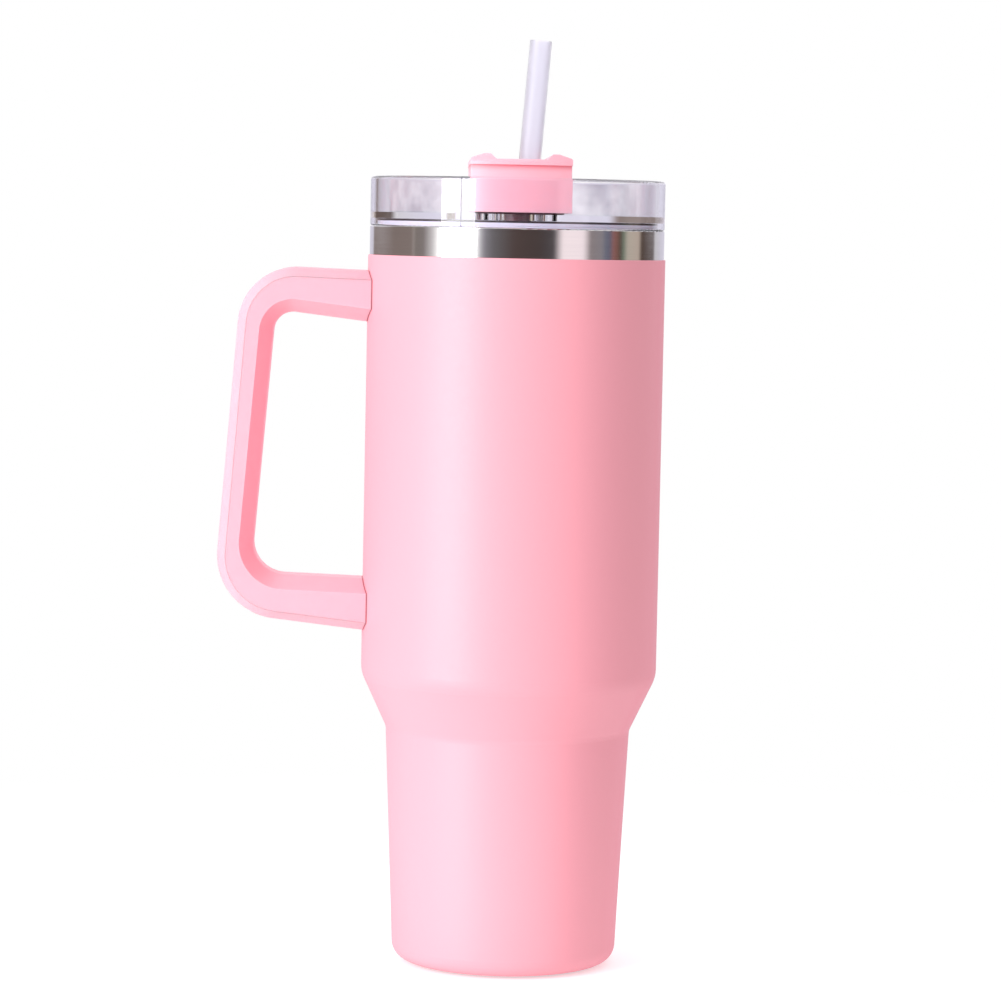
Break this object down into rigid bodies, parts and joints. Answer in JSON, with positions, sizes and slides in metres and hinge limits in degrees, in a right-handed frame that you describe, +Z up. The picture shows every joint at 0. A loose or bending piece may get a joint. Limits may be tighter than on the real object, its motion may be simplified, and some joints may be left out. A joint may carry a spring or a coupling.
{
  "type": "insulated tumbler",
  "caption": "Tall double-wall insulated tumbler with a side handle, a clear screw-on lid, a turning cover bar and a straw, on a taper that fits a cup holder.",
  "frame": {"origin": "centre of the foot pad's resting face", "axes": "+Z up along the tumbler's axis, -X towards the handle, +Y away from the front"},
  "size_m": [0.146, 0.098, 0.3061],
  "materials": {
    "powder_coat": "satin powder coat with a fine grain",
    "brushed_steel": "brushed round the rim",
    "plain_steel": "mill finish",
    "solder_glass": "glassy bead",
    "getter_metal": "sintered grey metal",
    "copper_foil": "bright thin foil",
    "foot_silicone": "soft matt silicone",
    "handle_plastic": "satin moulded plastic",
    "screw_steel": "plain stainless",
    "clear_plastic": "clear moulded plastic with a faint violet tint",
    "clear_silicone": "milky silicone",
    "cover_plastic": "satin moulded plastic",
    "dark_silicone": "soft dark silicone",
    "pink_silicone": "soft silicone",
    "frosted_plastic": "translucent frosted plastic"
  },
  "bodies": {
    "cup": {"outer_shell": "powder_coat", "inner_liner": "brushed_steel", "base_plate": "plain_steel", "vacuum_seal_bead": "solder_glass", "getter": "getter_metal", "insulation_foil": "copper_foil", "foot_pad": "foot_silicone", "handle_frame": "handle_plastic", "handle_outer_cover": "handle_plastic", "upper_bracket": "plain_steel", "lower_bracket": "plain_steel", "handle_screws": "screw_steel"},
    "lid_seal": {"lid_gasket": "clear_silicone"},
    "lid": {"lid_body": "clear_plastic"},
    "cover": {"rotating_cover": "cover_plastic", "cover_seal": "dark_silicone", "retaining_clip": "screw_steel", "pivot_o_ring": "dark_silicone", "straw_grommet": "pink_silicone"},
    "straw": {"straw": "frosted_plastic"}
  },
  "joints": [
    {"name": "lid_rise", "type": "slide", "parent": "cup", "child": "lid_seal", "axis": [0, 0, 1], "range_m": [0, 0.0161]},
    {"name": "lid_turn", "type": "hinge", "parent": "lid_seal", "child": "lid", "pos_m": [0, 0, 0.245], "axis": [0, 0, 1], "range_deg": [0, 480]},
    {"name": "cover_turn", "type": "hinge", "parent": "lid", "child": "cover", "pos_m": [0, 0, 0.245], "axis": [0, 0, 1], "range_deg": [0, 90]},
    {"name": "straw_slide", "type": "slide", "parent": "cover", "child": "straw", "axis": [0.075, 0, 0.9972], "range_m": [0, 0.24]}
  ],
  "couplings": [
    {"joint": "lid_rise", "follows": "lid_turn", "m_per_rad": 0.0019099}
  ]
}
